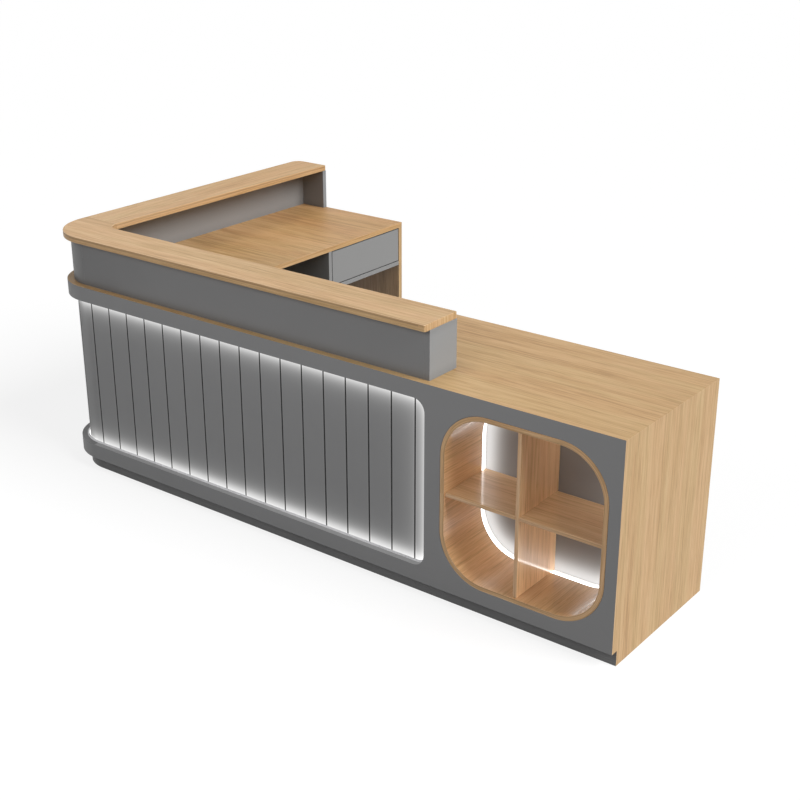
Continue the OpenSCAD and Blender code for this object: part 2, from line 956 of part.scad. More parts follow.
module right_hinges() {
    for (z = hinge_zs)
        translate([cupboard_u1 - reveal / 2, hinge_axis_v, z])
            mirror([1, 0, 0]) children();
}

module hinge_leaves_fixed() {
    color(steel) at_desk() {
        left_hinges() fixed_leaf_and_pin();
        right_hinges() fixed_leaf_and_pin();
    }
}

module fixed_leaf_and_pin() {
    hinge_leaf(-reveal / 2, false);
    hinge_pin();
}

module hinge_leaves_left() {
    color(steel) at_desk() left_hinges() hinge_leaf(reveal / 2 - leaf_t, true);
}

module hinge_leaves_right() {
    color(steel) at_desk() right_hinges() hinge_leaf(reveal / 2 - leaf_t, true);
}

module drawer_deck() {
    color(pale_paint) at_desk() block([staff_v, drawer_v0, deck_z1 - inner_t],
        [drawer_face_u, drawer_v1, deck_z1]);
}

module drawer_front() {
    color(pale_paint) at_desk() block([drawer_back_u, drawer_v0 + reveal,
        deck_z1 + reveal], [drawer_face_u, drawer_v1 - reveal, seat_z - front_top_gap]);
}

module drawer_box() {
    v0 = drawer_v0 + slide_w;
    v1 = drawer_v1 - slide_w;
    color("whitesmoke") at_desk() {
        for (v = [v0, v1 - box_t])
            block([box_u0, v, box_z0], [drawer_back_u, v + box_t, box_z0 + box_h]);
        block([box_u0, v0 + box_t, box_z0], [box_u0 + box_t, v1 - box_t,
            box_z0 + box_h]);
    }
}

module drawer_bottom() {
    color("whitesmoke") at_desk() block(
        [box_u0 + box_t, drawer_v0 + slide_w + box_t, box_z0],
        [drawer_back_u, drawer_v1 - slide_w - box_t, box_z0 + bottom_t]);
}

// Slide members in section: width from the carcass by height.
module cabinet_member_section() {
    slide_channel(0, slide_h / 2, slide_w * cabinet_flange_share);
}

module slide_channel(w0, half_h, flange) {
    difference() {
        translate([w0, -half_h]) square([flange, 2 * half_h]);
        translate([w0 + slide_t, slide_t - half_h])
            square([flange, 2 * half_h - 2 * slide_t]);
    }
}

module middle_member_section() {
    slide_channel(slide_t + slide_gap, middle_half_h,
        slide_w * middle_flange_share);
}

module drawer_member_section() {
    translate([slide_w, 0]) mirror([1, 0])
        slide_channel(0, drawer_half_h, slide_w * drawer_flange_share);
}

module slide_pair() {
    translate([0, drawer_v0, slide_mid_z]) along_run(box_u0, drawer_back_u)
        children();
    translate([0, drawer_v1, slide_mid_z]) mirror([0, 1, 0])
        along_run(box_u0, drawer_back_u) children();
}

module slide_cabinet_members() {
    color(steel) at_desk() slide_pair() cabinet_member_section();
}

module slide_middle_members() {
    color(steel) at_desk() slide_pair() middle_member_section();
}

module slide_drawer_members() {
    color(steel) at_desk() slide_pair() drawer_member_section();
}

// Push latches in their own frame: the plunger's tip is at the origin and the
// housing lies towards -X. Those of the doors hang from the worktop, and the
// drawer's stands on the modesty panel.
module latch_body(low, length) {
    difference() {
        block([-length, -latch_w / 2, low], [-tip_l, latch_w / 2, low + latch_w]);
        translate([latch_wall - length, 0, 0]) rotate([0, 90, 0])
            cylinder(d = plunger_d + 2 * run_fit, h = length);
    }
}

module latch_plunger(length) {
    rotate([0, -90, 0]) cylinder(d = plunger_d, h = length - tip_l - latch_wall);
}

module door_latch_place(side) {
    translate([cupboard_mid + side * latch_off, door_v0 - fit, seat_z - latch_above])
        rotate([0, 0, 90]) children();
}

module drawer_latch_place() {
    translate([box_u0 - fit, (drawer_v0 + drawer_v1) / 2, box_z0 + box_h - latch_down])
        children();
}

module latch_housings() {
    color("gray") at_desk() {
        for (side = [-1, 1])
            door_latch_place(side) latch_body(latch_above - latch_w, latch_l);
        drawer_latch_place() latch_body(-latch_w / 2, drawer_latch_l);
    }
}

module plunger_left() {
    color("white") at_desk() door_latch_place(-1) latch_plunger(latch_l);
}

module plunger_right() {
    color("white") at_desk() door_latch_place(1) latch_plunger(latch_l);
}

module plunger_drawer() {
    color("white") at_desk() drawer_latch_place() latch_plunger(drawer_latch_l);
}

// Steel angles fix the worktops to the modesty panels.
module front_angles() {
    free_len = niche_gable_u - corner_r - angle_l;
    for (s = front_angle_shares)
        translate([corner_r + s * free_len, staff_v, seat_z]) children();
}

module wing_angles() {
    free_len = drawer_v0 - inner_t - corner_r - angle_l;
    as_wing() for (s = wing_angle_shares)
        translate([corner_r + s * free_len, staff_v, seat_z]) children();
}

module steel_angle() {
    difference() {
        union() {
            block([0, 0, -angle_t], [angle_l, angle_leg, 0]);
            block([0, 0, -angle_leg], [angle_l, angle_t, 0]);
        }
        angle_screws() screw_hole(angle_t);
    }
}

// One screw upwards and one sideways, each with its head's seat at the origin.
module angle_screws() {
    translate([angle_l / 2, angle_screw, -angle_t]) children();
    translate([angle_l / 2, angle_t, -angle_screw]) rotate([90, 0, 0]) children();
}

module pan_screw() {
    cylinder(r = screw_r, h = screw_l);
    translate([0, 0, -head_h]) cylinder(r = head_r, h = head_h);
}

module screw_hole(depth) {
    translate([0, 0, -cut]) cylinder(r = screw_r + run_fit, h = depth + 2 * cut);
}

module worktop_brackets() {
    color(steel) at_desk() {
        front_angles() steel_angle();
        wing_angles() steel_angle();
    }
}

module fixing_screws() {
    color(steel) at_desk() {
        driver_place() driver_screws() pan_screw();
        front_angles() angle_screws() pan_screw();
        wing_angles() angle_screws() pan_screw();
    }
}

worktop_front();
worktop_wing();
end_panel_right();
end_panel_wing();
counter_front();
counter_wing();
front_fascia();
wing_fascia();
corner_bands();
riser_front();
riser_corner();
riser_wing();
riser_ends();
riser_dividers();
plinth_front();
plinth_corner();
plinth_wing();
planks_front();
planks_corner();
planks_wing();
wall_battens();
modesty_front();
modesty_corner();
modesty_wing();
gable_corner();
gable_niche();
gable_drawer();
niche_liner();
niche_divider();
niche_shelf();
niche_back();
led_channels();
led_strips();
led_diffusers();
led_driver();
power_module();
light_rocker();
cable_ports();
cupboard_floor();
cupboard_shelf();
cupboard_kick();
door_left();
door_right();
hinge_leaves_fixed();
hinge_leaves_left();
hinge_leaves_right();
drawer_deck();
drawer_front();
drawer_box();
drawer_bottom();
slide_cabinet_members();
slide_middle_members();
slide_drawer_members();
latch_housings();
plunger_left();
plunger_right();
plunger_drawer();
worktop_brackets();
fixing_screws();
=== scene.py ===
"""Reception desk: materials, soft edges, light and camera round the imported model.

Metres. X runs along the long side to its low end, -Y is where visitors stand, Z is up.
"""

import math

import bpy
from mathutils import Matrix, Vector

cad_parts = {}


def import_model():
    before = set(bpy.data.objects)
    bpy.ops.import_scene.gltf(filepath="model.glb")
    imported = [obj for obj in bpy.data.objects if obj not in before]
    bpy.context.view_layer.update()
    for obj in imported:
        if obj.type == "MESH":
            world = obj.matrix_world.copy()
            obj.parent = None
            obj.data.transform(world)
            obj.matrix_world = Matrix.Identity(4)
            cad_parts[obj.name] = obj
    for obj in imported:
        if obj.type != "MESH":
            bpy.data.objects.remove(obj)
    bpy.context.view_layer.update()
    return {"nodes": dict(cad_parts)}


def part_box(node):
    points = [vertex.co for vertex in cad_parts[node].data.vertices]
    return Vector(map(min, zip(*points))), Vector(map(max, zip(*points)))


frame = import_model()
nodes = frame["nodes"]
slots = {name: ob.data.materials[0].name for name, ob in nodes.items()}

# Places in the model.
WINDOW_Z = (0.112, 0.703)            # lower and upper edge of the planked window
WINDOW_END_X = 0.546                 # its end on the long side
WINDOW_END_Y = 0.629                 # its end on the wing
CORNER_AXIS = (-1.06, -0.535)        # axis of the rounded corner
PLANK_RADIUS = 0.158                 # outer face of the corner's planks
PLANK_FACE_X = -1.218
PLANK_FACE_Y = -0.693
PLANK_PITCH = 0.0954
GROOVE_X = -1.040                    # one groove each of the long side, the wing
GROOVE_Y = -0.517                    # and, measured round its arc, the corner
GROOVE_ARC = -0.020
RISER_Z = (0.760, 0.927)
RISER_Y = (-0.699, -0.555)           # the riser under the long counter, front to back
RISER_END_X = 0.546
COUNTER_WING_X = -1.080              # inner edge of the wing's counter
COUNTER_END_X = 0.50                 # the counter's right end is past this
COUNTER_GLUE_Z = 0.9435              # glue line in the counter's edge
COUNTER_GLUE_X = 0.52                # its end
NICHE_CENTRE = (0.9085, 0.4045)      # x and z
NICHE_HALF = (0.300, 0.299)
NICHE_RADIUS = 0.170
NICHE_SIDE_X = 0.58                  # what is past this belongs to the niche
LINER_THICKNESS = 0.016
LINER_FRONT_Y = (-0.724, -0.720)     # where the liner's front rim starts
RING_Y = -0.515                      # front of the lit ring round the niche's back
LEDGE_Z = 0.2                        # ledges lower than this catch the window's light
DECK_EDGE_X = -0.653                 # edge of the board under the drawer
GAP_DEPTH = (0.0003, 0.0012)         # how far in a gap or groove gets dark
WORKTOP_TURN = 2.01                  # x + z where the long worktop's grain goes down
COUNTER_TURN = 1.496                 # the same at the counter's right end
STRIP_STEP = 0.008                   # from light to light in the strips

# Colours as linear light.
OAK_DARK = (0.410, 0.250, 0.110)
OAK_MID = (0.532, 0.338, 0.163)
OAK_LIGHT = (0.610, 0.412, 0.215)
# Pale oak of rubbed edges, also the painted highlight along level boards' upper arris.
OAK_RUBBED_AND_HIGHLIGHT = (0.740, 0.560, 0.370)
OAK_GLUE = (0.190, 0.120, 0.070)
OAK_HUES = ((0.985, 1.010, 1.0), (1.010, 0.992, 1.0))
GREY = (0.260, 0.260, 0.263)
# The risers' lacquer, drawn a little darker than GREY as painted shade.
RISER_GREY = (0.236, 0.236, 0.238)
PALE_GREY = (0.288, 0.287, 0.286)
# Painted light: the right-facing faces of the riser ends are drawn in this paler, bluer grey.
LIT_END_GREY = (0.290, 0.304, 0.316)
PLINTH = (0.185, 0.185, 0.187)
BOARD_GREY = (0.268, 0.267, 0.264)
SCUFF_GREY = (0.34, 0.33, 0.31)
DRAWER_FOIL = (0.66, 0.65, 0.62)
SPRUCE = ((0.55, 0.38, 0.20), (0.70, 0.53, 0.33))
OPAL = (0.86, 0.86, 0.85)
STRIP_RESIN = (0.80, 0.78, 0.70)
STRIP_LIGHT = (0.90, 0.72, 0.25)
ANODISED = (0.75, 0.75, 0.76)
ZINC = (0.52, 0.53, 0.54)
BLACK_PLASTIC = (0.022, 0.022, 0.023)
GREY_PLASTIC = (0.060, 0.060, 0.062)
WHITE_PLASTIC = (0.72, 0.72, 0.70)

# What the oak's colour is multiplied by, from piece to piece.
LINER_TONE = (1.06, 1.0, 1.02)
NICHE_TONE = (1.03, 1.0, 1.10)
# The worktop's and the counter's pairs go from the first to the second along the wing:
# painted warmer shade.
WORKTOP_TONES_AND_SHADE = ((1.01, 0.985, 0.93), (1.06, 0.97, 0.87))
COUNTER_TONES_AND_SHADE = ((1.0, 1.0, 1.04), (0.97, 0.92, 0.86))

# Layers of the oak's grain: scale along and across it, detail, roughness and weight.
GRAIN_LAYERS = {
    "leaf": (0.3, 5.0, 1.0, 0.5, 0.75),
    "bands": (1.0, 28.0, 1.0, 0.5, 0.55),
    "stripes": (3.0, 95.0, 2.0, 0.5, 0.90),
    "lines": (8.0, 260.0, 2.0, 0.5, 1.15),
    "fibres": (22.0, 700.0, 2.0, 0.6, 0.45),
}
GRAIN_MEAN = 1.90
BAND_STRETCH = 2.5                   # a level board's bands have finer grain
BAND_VENEER = 3.1                    # where in the veneer they are
EDGE_VENEER = 2.3                    # the same for an upright board's edges

# Colours of the painted light on oak, niche and lacquer, and of the lit opal and strips, as
# linear light.
NICHE_GLOW = (1.0, 0.62, 0.33)
OAK_GLOW = (1.0, 0.80, 0.75)
STRIP_WHITE = (1.0, 0.995, 0.985)
OPAL_WHITE = (1.0, 0.99, 0.97)
CHIP_WHITE = (1.0, 0.98, 0.92)

# Hidden strips' light on what is beside them: its peak, its reach and its falloff.
WINDOW_LOW_LIGHT = (0.62, 0.028, 2.7)
WINDOW_HIGH_LIGHT = (0.80, 0.0266, 2.5)
WINDOW_END_LIGHT = (0.80, 0.027, 2.3)
NICHE_BACK_LIGHT = (0.52, 0.047, 3.2)
NICHE_SIDE_LIGHT = (0.04, 0.035, 1.5)

# A face looks along an axis where its normal's share of it is above the first limit;
# the second limit counts more of the softened edge in.
FACING = 0.7
FACING_WIDE = 0.5

# How far the boards' edges are rounded.
EDGE_WIDTHS = {
    0.0006: ("worktop_front", "worktop_wing", "end_panel_right", "end_panel_wing"),
    0.0016: ("counter_front", "counter_wing"),
    0.0025: ("niche_shelf", "niche_divider"),
    0.0008: ("niche_liner", "riser_front", "riser_wing", "riser_corner", "riser_ends",
             "riser_dividers", "door_left", "door_right", "drawer_front",
             "drawer_deck", "gable_corner", "gable_niche", "gable_drawer",
             "cupboard_shelf", "cupboard_floor", "drawer_box"),
    0.0005: ("front_fascia", "wing_fascia", "corner_bands", "planks_front",
             "planks_wing", "planks_corner", "plinth_front", "plinth_corner",
             "plinth_wing", "modesty_front", "modesty_wing", "modesty_corner"),
}
EDGE_SEGMENTS = 2
WELD_DISTANCE = 0.00001
FLAT_ANGLE = math.radians(0.5)
EDGE_ANGLE = math.radians(35)

# Camera at the photo's place; the three directions are its right, up and forward.
CAMERA_PLACE = (2.9058, -3.9206, 2.3566)
CAMERA_TURN = ((0.79319, 0.60898, -0.00095), (-0.23305, 0.30499, 0.92340),
               (-0.56262, 0.73221, -0.38384))
CAMERA_LENS = 62.40
CAMERA_SENSOR = 36.0
CAMERA_FAR = 100.0

# Light and floor.
SKY_STRENGTH = 0.20
KEY = {"direction": (0.77, 0.10, 0.64), "strength": 3.05, "angle": 35}
FRONT_PANEL = {"place": (0.3, -3.5, 2.5), "target": (0.3, -0.7, 0.5),
               "size": (3.0, 1.5), "power": 34.0}
FLOOR_HALF = 14.0
FLOOR_DROP = 0.0005
FLOOR_COLOUR = 0.35                  # for the light that it throws back
FLOOR_SEEN = 0.22                    # seen directly, with this much light of its own
FLOOR_LIGHT = 0.82


class Shader:
    """A material's node tree, with a short call for each kind of node used."""

    def __init__(self, name):
        self.material = bpy.data.materials.new(name)
        self.material.use_nodes = True
        self.tree = self.material.node_tree
        self.tree.nodes.clear()
        coordinates = self.tree.nodes.new("ShaderNodeTexCoord")
        self.place = coordinates.outputs["Object"]
        self.x, self.y, self.z = self.split(self.place)
        self.nx, self.ny, self.nz = self.split(coordinates.outputs["Normal"])

    def add(self, kind, *values, out=0, **settings):
        node = self.tree.nodes.new(kind)
        for key, value in settings.items():
            setattr(node, key, value)
        for socket, value in zip(node.inputs, values):
            self.put(socket, value)
        return node.outputs[out]

    def put(self, socket, value):
        if isinstance(value, bpy.types.NodeSocket):
            self.tree.links.new(value, socket)
        elif value is not None:
            socket.default_value = value

    def split(self, vector):
        node = self.tree.nodes.new("ShaderNodeSeparateXYZ")
        self.put(node.inputs[0], vector)
        return node.outputs[0], node.outputs[1], node.outputs[2]

    def join(self, x, y, z=0.0):
        return self.add("ShaderNodeCombineXYZ", x, y, z)

    def length(self, x, y):
        return self.add("ShaderNodeVectorMath", self.join(x, y), operation="LENGTH", out=1)

    def stretch(self, vector, factors):
        return self.add("ShaderNodeVectorMath", vector, factors, operation="MULTIPLY")

    def math(self, operation, *values):
        return self.add("ShaderNodeMath", *values, operation=operation)

    def plus(self, first, *rest):
        for value in rest:
            first = self.math("ADD", first, value)
        return first

    def times(self, first, *rest):
        for value in rest:
            first = self.math("MULTIPLY", first, value)
        return first

    def minus(self, a, b):
        return self.math("SUBTRACT", a, b)

    def least(self, a, b):
        return self.math("MINIMUM", a, b)

    def most(self, a, b):
        return self.math("MAXIMUM", a, b)

    def size(self, value):
        return self.math("ABSOLUTE", value)

    def over(self, value, limit):
        return self.math("GREATER_THAN", value, limit)

    def under(self, value, limit):
        return self.math("LESS_THAN", value, limit)

    def fade(self, value, start, end, low=0.0, high=1.0):
        """Goes smoothly from low at start to high at end."""
        return self.add("ShaderNodeMapRange", value, start, end, low, high,
                        interpolation_type="SMOOTHSTEP")

    def pick(self, switch, a, b):
        """Is a where the switch is 0 and b where it is 1."""
        return self.plus(a, self.times(switch, self.minus(b, a)))

    def mix(self, share, a, b):
        node = self.tree.nodes.new("ShaderNodeMix")
        node.data_type = "RGBA"
        for index, value in ((0, share), (6, a), (7, b)):
            if isinstance(value, tuple):
                value = (*value, 1.0)
            self.put(node.inputs[index], value)
        return node.outputs[2]

    def tint(self, colour, amount):
        """Colour times a number."""
        return self.stretch(colour, self.join(amount, amount, amount))

    def noise(self, vector, scale, detail=2.0, roughness=0.5):
        node = self.tree.nodes.new("ShaderNodeTexNoise")
        for name, value in (("Vector", vector), ("Scale", scale), ("Detail", detail),
                            ("Roughness", roughness)):
            self.put(node.inputs[name], value)
        return node.outputs["Fac"]

    def streaks(self, vector, factors, detail=1.0, roughness=0.5):
        """Noise drawn out by a factor for each axis."""
        return self.noise(self.stretch(vector, factors), 1.0, detail, roughness)

    def bump(self, height, distance, strength):
        node = self.tree.nodes.new("ShaderNodeBump")
        for name, value in (("Height", height), ("Distance", distance),
                            ("Strength", strength)):
            self.put(node.inputs[name], value)
        return node.outputs[0]

    def surface(self, colour, roughness, normal=None, light=None, light_colour=None,
                **others):
        """The Principled shader that shows; others are named like its sockets."""
        node = self.tree.nodes.new("ShaderNodeBsdfPrincipled")
        for name, value in (("Base Color", colour), ("Roughness", roughness),
                            ("Normal", normal), ("Emission Strength", light)):
            self.put(node.inputs[name], value)
        if light_colour:
            node.inputs["Emission Color"].default_value = (*light_colour, 1.0)
        for name, value in others.items():
            socket = name.replace("_", " ").title().replace("Ior", "IOR")
            self.put(node.inputs[socket], value)
        output = self.tree.nodes.new("ShaderNodeOutputMaterial")
        self.tree.links.new(node.outputs[0], output.inputs[0])
        return self.material


def steady(value):
    """The same value at every point."""
    return lambda s: value


def edge_mask(s, node, width):
    """1 at the long edges of a box-shaped board, 0 further in than width."""
    low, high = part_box(node)
    x, y, z = (s.least(s.minus(value, a), s.minus(b, value))
               for value, a, b in zip((s.x, s.y, s.z), low, high))
    small = s.least(s.least(x, y), z)
    large = s.most(s.most(x, y), z)
    middle = s.minus(s.minus(s.plus(x, y, z), small), large)
    return s.fade(middle, width, 0.0)


def niche_depth(s, inset=0.0):
    """How far a point lies inside the niche's rounded outline, set in by inset."""
    radius = NICHE_RADIUS - inset
    across, up = (s.minus(s.size(s.minus(value, centre)), half - inset - radius)
                  for value, centre, half in zip((s.x, s.z), NICHE_CENTRE, NICHE_HALF))
    outer = s.length(s.most(across, 0.0), s.most(up, 0.0))
    inner = s.least(s.most(across, up), 0.0)
    return s.minus(radius, s.plus(outer, inner))


def in_niche(s):
    return s.over(s.x, NICHE_SIDE_X)


def faces_right(s):
    return s.over(s.nx, FACING)


def faces_back(s):
    return s.over(s.ny, FACING)


# Each of these gives (along the grain, across it) for a point of a board. A board's
# bands have their grain along their length, from another part of the veneer.

def flat_board(s):
    """A level board with its grain along X."""
    edge = s.under(s.size(s.nz), FACING)
    along = s.pick(edge, s.x, s.minus(s.x, s.y))
    return along, s.pick(edge, s.y, s.plus(s.times(s.z, BAND_STRETCH), BAND_VENEER))


def flat_board_y(s):
    """A level board with its grain along Y."""
    edge = s.under(s.size(s.nz), FACING)
    along = s.pick(edge, s.y, s.minus(s.y, s.x))
    return along, s.pick(edge, s.x, s.plus(s.times(s.z, BAND_STRETCH), BAND_VENEER))


def counter_board(s):
    """The long counter: a level board whose grain goes over its right end and down."""
    along, across = flat_board(s)
    end = s.times(faces_right(s), s.over(s.x, COUNTER_END_X))
    return s.pick(end, along, s.minus(COUNTER_TURN, s.z)), s.pick(end, across, s.y)


def upright_x(s):
    """A board that faces X, its grain running on from the worktop's and down."""
    edge = s.over(s.size(s.ny), FACING)
    return s.minus(WORKTOP_TURN, s.z), s.pick(edge, s.y, s.plus(s.x, EDGE_VENEER))


def upright_y(s):
    """A board that faces Y, with upright grain."""
    edge = s.over(s.size(s.nx), FACING)
    return s.z, s.pick(edge, s.x, s.plus(s.y, EDGE_VENEER))


def niche_ring(s):
    """The niche liner, with its grain from front to back and round the front rim."""
    dx = s.minus(s.x, NICHE_CENTRE[0])
    dz = s.minus(s.z, NICHE_CENTRE[1])
    turn = s.times(s.math("ARCTAN2", dz, dx), 0.3)
    rim = s.over(s.size(s.ny), FACING)
    return s.pick(rim, s.y, turn), s.pick(rim, turn, niche_depth(s))


# Light of the hidden strips, painted as a faint glow.

def spill(s, distance, strip_light):
    """A strip's light by the distance from it."""
    peak, reach, falloff = strip_light
    ratio = s.math("DIVIDE", s.most(distance, 0.0), reach)
    return s.math("DIVIDE", peak, s.plus(1.0, s.math("POWER", ratio, falloff)))


def window_light(s, end, shade):
    """Light of the window's strips on the planks; their grooves stay darker."""
    low, high = WINDOW_Z
    total = s.plus(spill(s, s.minus(s.z, low), WINDOW_LOW_LIGHT),
                   spill(s, s.minus(high, s.z), WINDOW_HIGH_LIGHT))
    if end is not None:
        total = s.plus(total, spill(s, end, WINDOW_END_LIGHT))
    return s.times(total, shade)


def planks_front_light(s):
    return window_light(s, s.minus(WINDOW_END_X, s.x), front_grooves(s))


def planks_wing_light(s):
    return window_light(s, s.minus(WINDOW_END_Y, s.y), wing_grooves(s))


def planks_corner_light(s):
    return s.times(window_light(s, None, corner_grooves(s)), turned(s, 0.50))


def window_edge_light(s):
    """Light of the strips on the ledge under the window."""
    return s.times(s.over(s.nz, FACING_WIDE), s.over(LEDGE_Z, s.z),
                   s.fade(s.x, -1.0, 0.5, 0.02, 0.06))


def niche_back_light(s):
    """Light of the ring on the front of the niche's back panel."""
    front = s.over(-FACING_WIDE, s.ny)
    return s.times(front, spill(s, niche_depth(s, LINER_THICKNESS), NICHE_BACK_LIGHT))


def under_drawer_light(s):
    """Light from the floor on the inner face of the wing's far end panel."""
    return s.times(s.over(-FACING, s.ny), 0.035)


# Painted shade and light: how bright a point of a board is drawn; 1 leaves its colour as it
# is.

def groove_shade(s, depth, run):
    """Painted shade in the grooves and beside them, and a painted highlight line on each
    side, by depth and way along the planks.
    """
    away = s.size(s.math("WRAP", run, PLANK_PITCH / 2, -PLANK_PITCH / 2))
    return s.times(s.fade(depth, *GAP_DEPTH, 1.0, 0.10),
                   s.fade(away, 0.0028, 0.0036, 0.30, 1.0),
                   s.fade(away, 0.0065, 0.0090, 1.07, 1.0))


def front_grooves(s):
    return groove_shade(s, s.minus(s.y, PLANK_FACE_Y), s.minus(s.x, GROOVE_X))


def wing_grooves(s):
    return groove_shade(s, s.minus(s.x, PLANK_FACE_X), s.minus(s.y, GROOVE_Y))


def corner_grooves(s):
    x = s.minus(CORNER_AXIS[0], s.x)
    y = s.minus(CORNER_AXIS[1], s.y)
    arc = s.times(s.math("ARCTAN2", x, y), PLANK_RADIUS)
    return groove_shade(s, s.minus(PLANK_RADIUS, s.length(x, y)), s.minus(arc, GROOVE_ARC))


def turned(s, least):
    """Painted shade on the rounded corner: 1 at its two ends, least between them."""
    ends = s.plus(s.fade(s.nx, -0.44, -0.12), s.fade(s.nx, -0.60, -1.0))
    return s.plus(least, s.times(ends, 1.0 - least))


# Painted shade of the corner planks: their grooves, and darker between the corner's ends.
def planks_corner_shade(s):
    return s.times(corner_grooves(s), turned(s, 0.78))


def riser_shade(s):
    """Painted shade: the risers are drawn darker towards the worktop and the counter, and to
    the left.
    """
    low, high = RISER_Z
    return s.times(s.fade(s.z, low, low + 0.035, 0.86, 1.0),
                   s.fade(s.z, high - 0.030, high, 1.0, 0.90),
                   s.fade(s.x, -1.10, -0.55, 0.88, 1.0))


# Painted shade of the rounded riser: the risers' shade, and darker between the corner's ends.
def riser_corner_shade(s):
    return s.times(riser_shade(s), turned(s, 0.86))


def corner_band_shade(s):
    """Painted shade: the ledge of the lower corner band is drawn dark under the planks, and
    the band darker between the corner's ends.
    """
    ledge = s.times(s.over(s.nz, FACING_WIDE), s.over(LEDGE_Z, s.z))
    return s.times(s.pick(ledge, 1.0, 0.6), turned(s, 0.76))


def counter_shade(s):
    """Painted light and shade: the counter's long edges are drawn paler than its top, its
    right end darker.
    """
    return s.plus(1.10, s.times(s.over(s.size(s.ny), FACING_WIDE), 0.14),
                  s.times(faces_right(s), -0.05))


def worktop_shade(s):
    """Painted shade: the worktops are drawn darker round the riser's foot and under the
    counters.
    """
    dx = s.minus(s.x, RISER_END_X)
    dy = s.most(s.minus(RISER_Y[0], s.y), s.minus(s.y, RISER_Y[1]))
    riser = s.length(s.most(dx, 0.0), s.most(dy, 0.0))
    counter = s.minus(s.x, COUNTER_WING_X)
    return s.fade(s.least(riser, counter), 0.0, 0.10, 0.86, 1.0)


# Painted light: the niche divider is drawn brighter, most in its lower part near the lit
# ring.
def divider_shade(s):
    return s.fade(s.z, 0.43, 0.36, 1.25, 1.70)


# Painted light and shade: the niche liner is drawn brighter on its upper left and darker low
# on the right.
def liner_shade(s):
    return s.fade(s.minus(s.x, s.z), 0.50, 0.85, 1.36, 0.94)


def gap_under_drawer(s):
    """Painted shade: the board under the drawer is drawn dark in the gap."""
    depth = s.times(s.over(s.nz, FACING), s.minus(DECK_EDGE_X, s.x))
    return s.fade(depth, *GAP_DEPTH, 1.0, 0.22)


def gap_round_drawer(s):
    """Painted shade: the drawer's front is drawn dark along the gap round it."""
    low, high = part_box("drawer_front")
    y, z = (s.least(s.minus(value, a), s.minus(b, value))
            for value, a, b in ((s.y, low[1], high[1]), (s.z, low[2], high[2])))
    return s.fade(s.least(y, z), 0.0016, 0.0025, 0.22, 1.0)


def worktop_tone_and_shade(s):
    """Painted warm shade: the oak is drawn a little redder towards the wing's far end."""
    return s.mix(s.fade(s.y, -0.20, 0.45), *WORKTOP_TONES_AND_SHADE)


def counter_tone_and_shade(s):
    """Painted shade: the counter's oak is drawn darker and warmer along the wing."""
    return s.mix(s.fade(s.y, -0.45, 0.40), *COUNTER_TONES_AND_SHADE)


def divider_gloss_and_glow(s):
    """The lower part of the niche divider's right face mirrors the lit ring, and gets more
    painted light.
    """
    return s.times(faces_right(s), s.fade(s.z, 0.42, 0.39))


def corner_specular(s):
    """Less gloss on the rounded corner, between its two ends."""
    ends = s.plus(s.fade(s.nx, -0.60, -0.15), s.fade(s.nx, -0.85, -1.0))
    return s.plus(0.03, s.times(ends, 0.22))


# Materials.

def grain_layers(s, layout, seed):
    """Gives the place in the slightly bent grain, and the grain's layers by name."""
    along, across = layout(s)
    straight = s.join(along, across, seed)
    sway = s.minus(s.streaks(straight, (0.9, 2.5, 1.0)), 0.5)
    ripple = s.minus(s.streaks(straight, (4.5, 9.0, 1.0)), 0.5)
    across = s.plus(across, s.times(sway, 0.030), s.times(ripple, 0.006))
    grain = s.join(along, across, seed)
    return grain, {name: s.streaks(grain, (length, width, 1.0), detail, roughness)
                   for name, (length, width, detail, roughness, _) in GRAIN_LAYERS.items()}


def grain_colour(s, grain, layers, contrast, tone_and_shade):
    """The oak's colour before its pores and wear."""
    depth = s.plus(*(s.times(layers[name], weight)
                     for name, (*_, weight) in GRAIN_LAYERS.items()), -GRAIN_MEAN)
    depth = s.plus(s.times(depth, contrast), 0.50)
    colour = s.mix(s.fade(depth, 0.22, 0.50), OAK_DARK, OAK_MID)
    colour = s.stretch(s.mix(s.fade(depth, 0.50, 0.80), colour, OAK_LIGHT), tone_and_shade(s))
    warm = s.streaks(grain, (0.7, 14.0, 1.0), 2.0)
    return s.stretch(colour, s.mix(s.fade(warm, 0.38, 0.62), *OAK_HUES))


def oak_edges(s, colour, worn, level, glue):
    """Rubbed oak edges, a painted highlight on level boards' upper arris, and the dark line
    in a counter's edge.
    """
    if worn:
        rubbed = s.times(edge_mask(s, worn, 0.0035), s.noise(s.place, 60.0, 3.0))
        colour = s.mix(s.times(rubbed, 0.25), colour, OAK_RUBBED_AND_HIGHLIGHT)
    # Painted highlight along the upper arris of level boards.
    if level:
        arris = s.times(s.fade(s.nz, 0.10, 0.40), s.fade(s.nz, 0.99, 0.90),
                        s.over(s.size(s.ny), 0.15))
        colour = s.mix(s.times(arris, 0.8), colour, OAK_RUBBED_AND_HIGHLIGHT)
    if glue:
        line = s.times(s.fade(s.z, glue - 0.003, glue - 0.001),
                       s.fade(s.z, glue + 0.003, glue + 0.001),
                       s.under(s.size(s.nz), FACING_WIDE), s.over(COUNTER_GLUE_X, s.x))
        colour = s.mix(s.times(line, 0.45), colour, OAK_GLUE)
    return colour


def niche_surface(s, colour, rough, normal, inside, gloss_and_glow):
    """Glossy oak of the niche, with its rim's glue line and the ring's light painted on it as
    a glow.
    """
    rim = niche_depth(s)
    line = s.times(s.fade(rim, 0.0125, 0.0133), s.fade(rim, 0.0148, 0.0140),
                   s.fade(s.y, LINER_FRONT_Y[1], LINER_FRONT_Y[0]))
    colour = s.mix(s.times(line, 0.5), colour, OAK_GLUE)
    glow = s.plus(0.04, s.times(gloss_and_glow, 0.09),
                  spill(s, s.minus(RING_Y, s.y), NICHE_SIDE_LIGHT))
    return s.surface(colour, rough, normal, s.times(glow, inside), NICHE_GLOW,
                     specular_ior_level=0.4, coat_weight=inside, coat_roughness=0.09,
                     coat_ior=s.plus(1.4, s.times(gloss_and_glow, 0.6)))


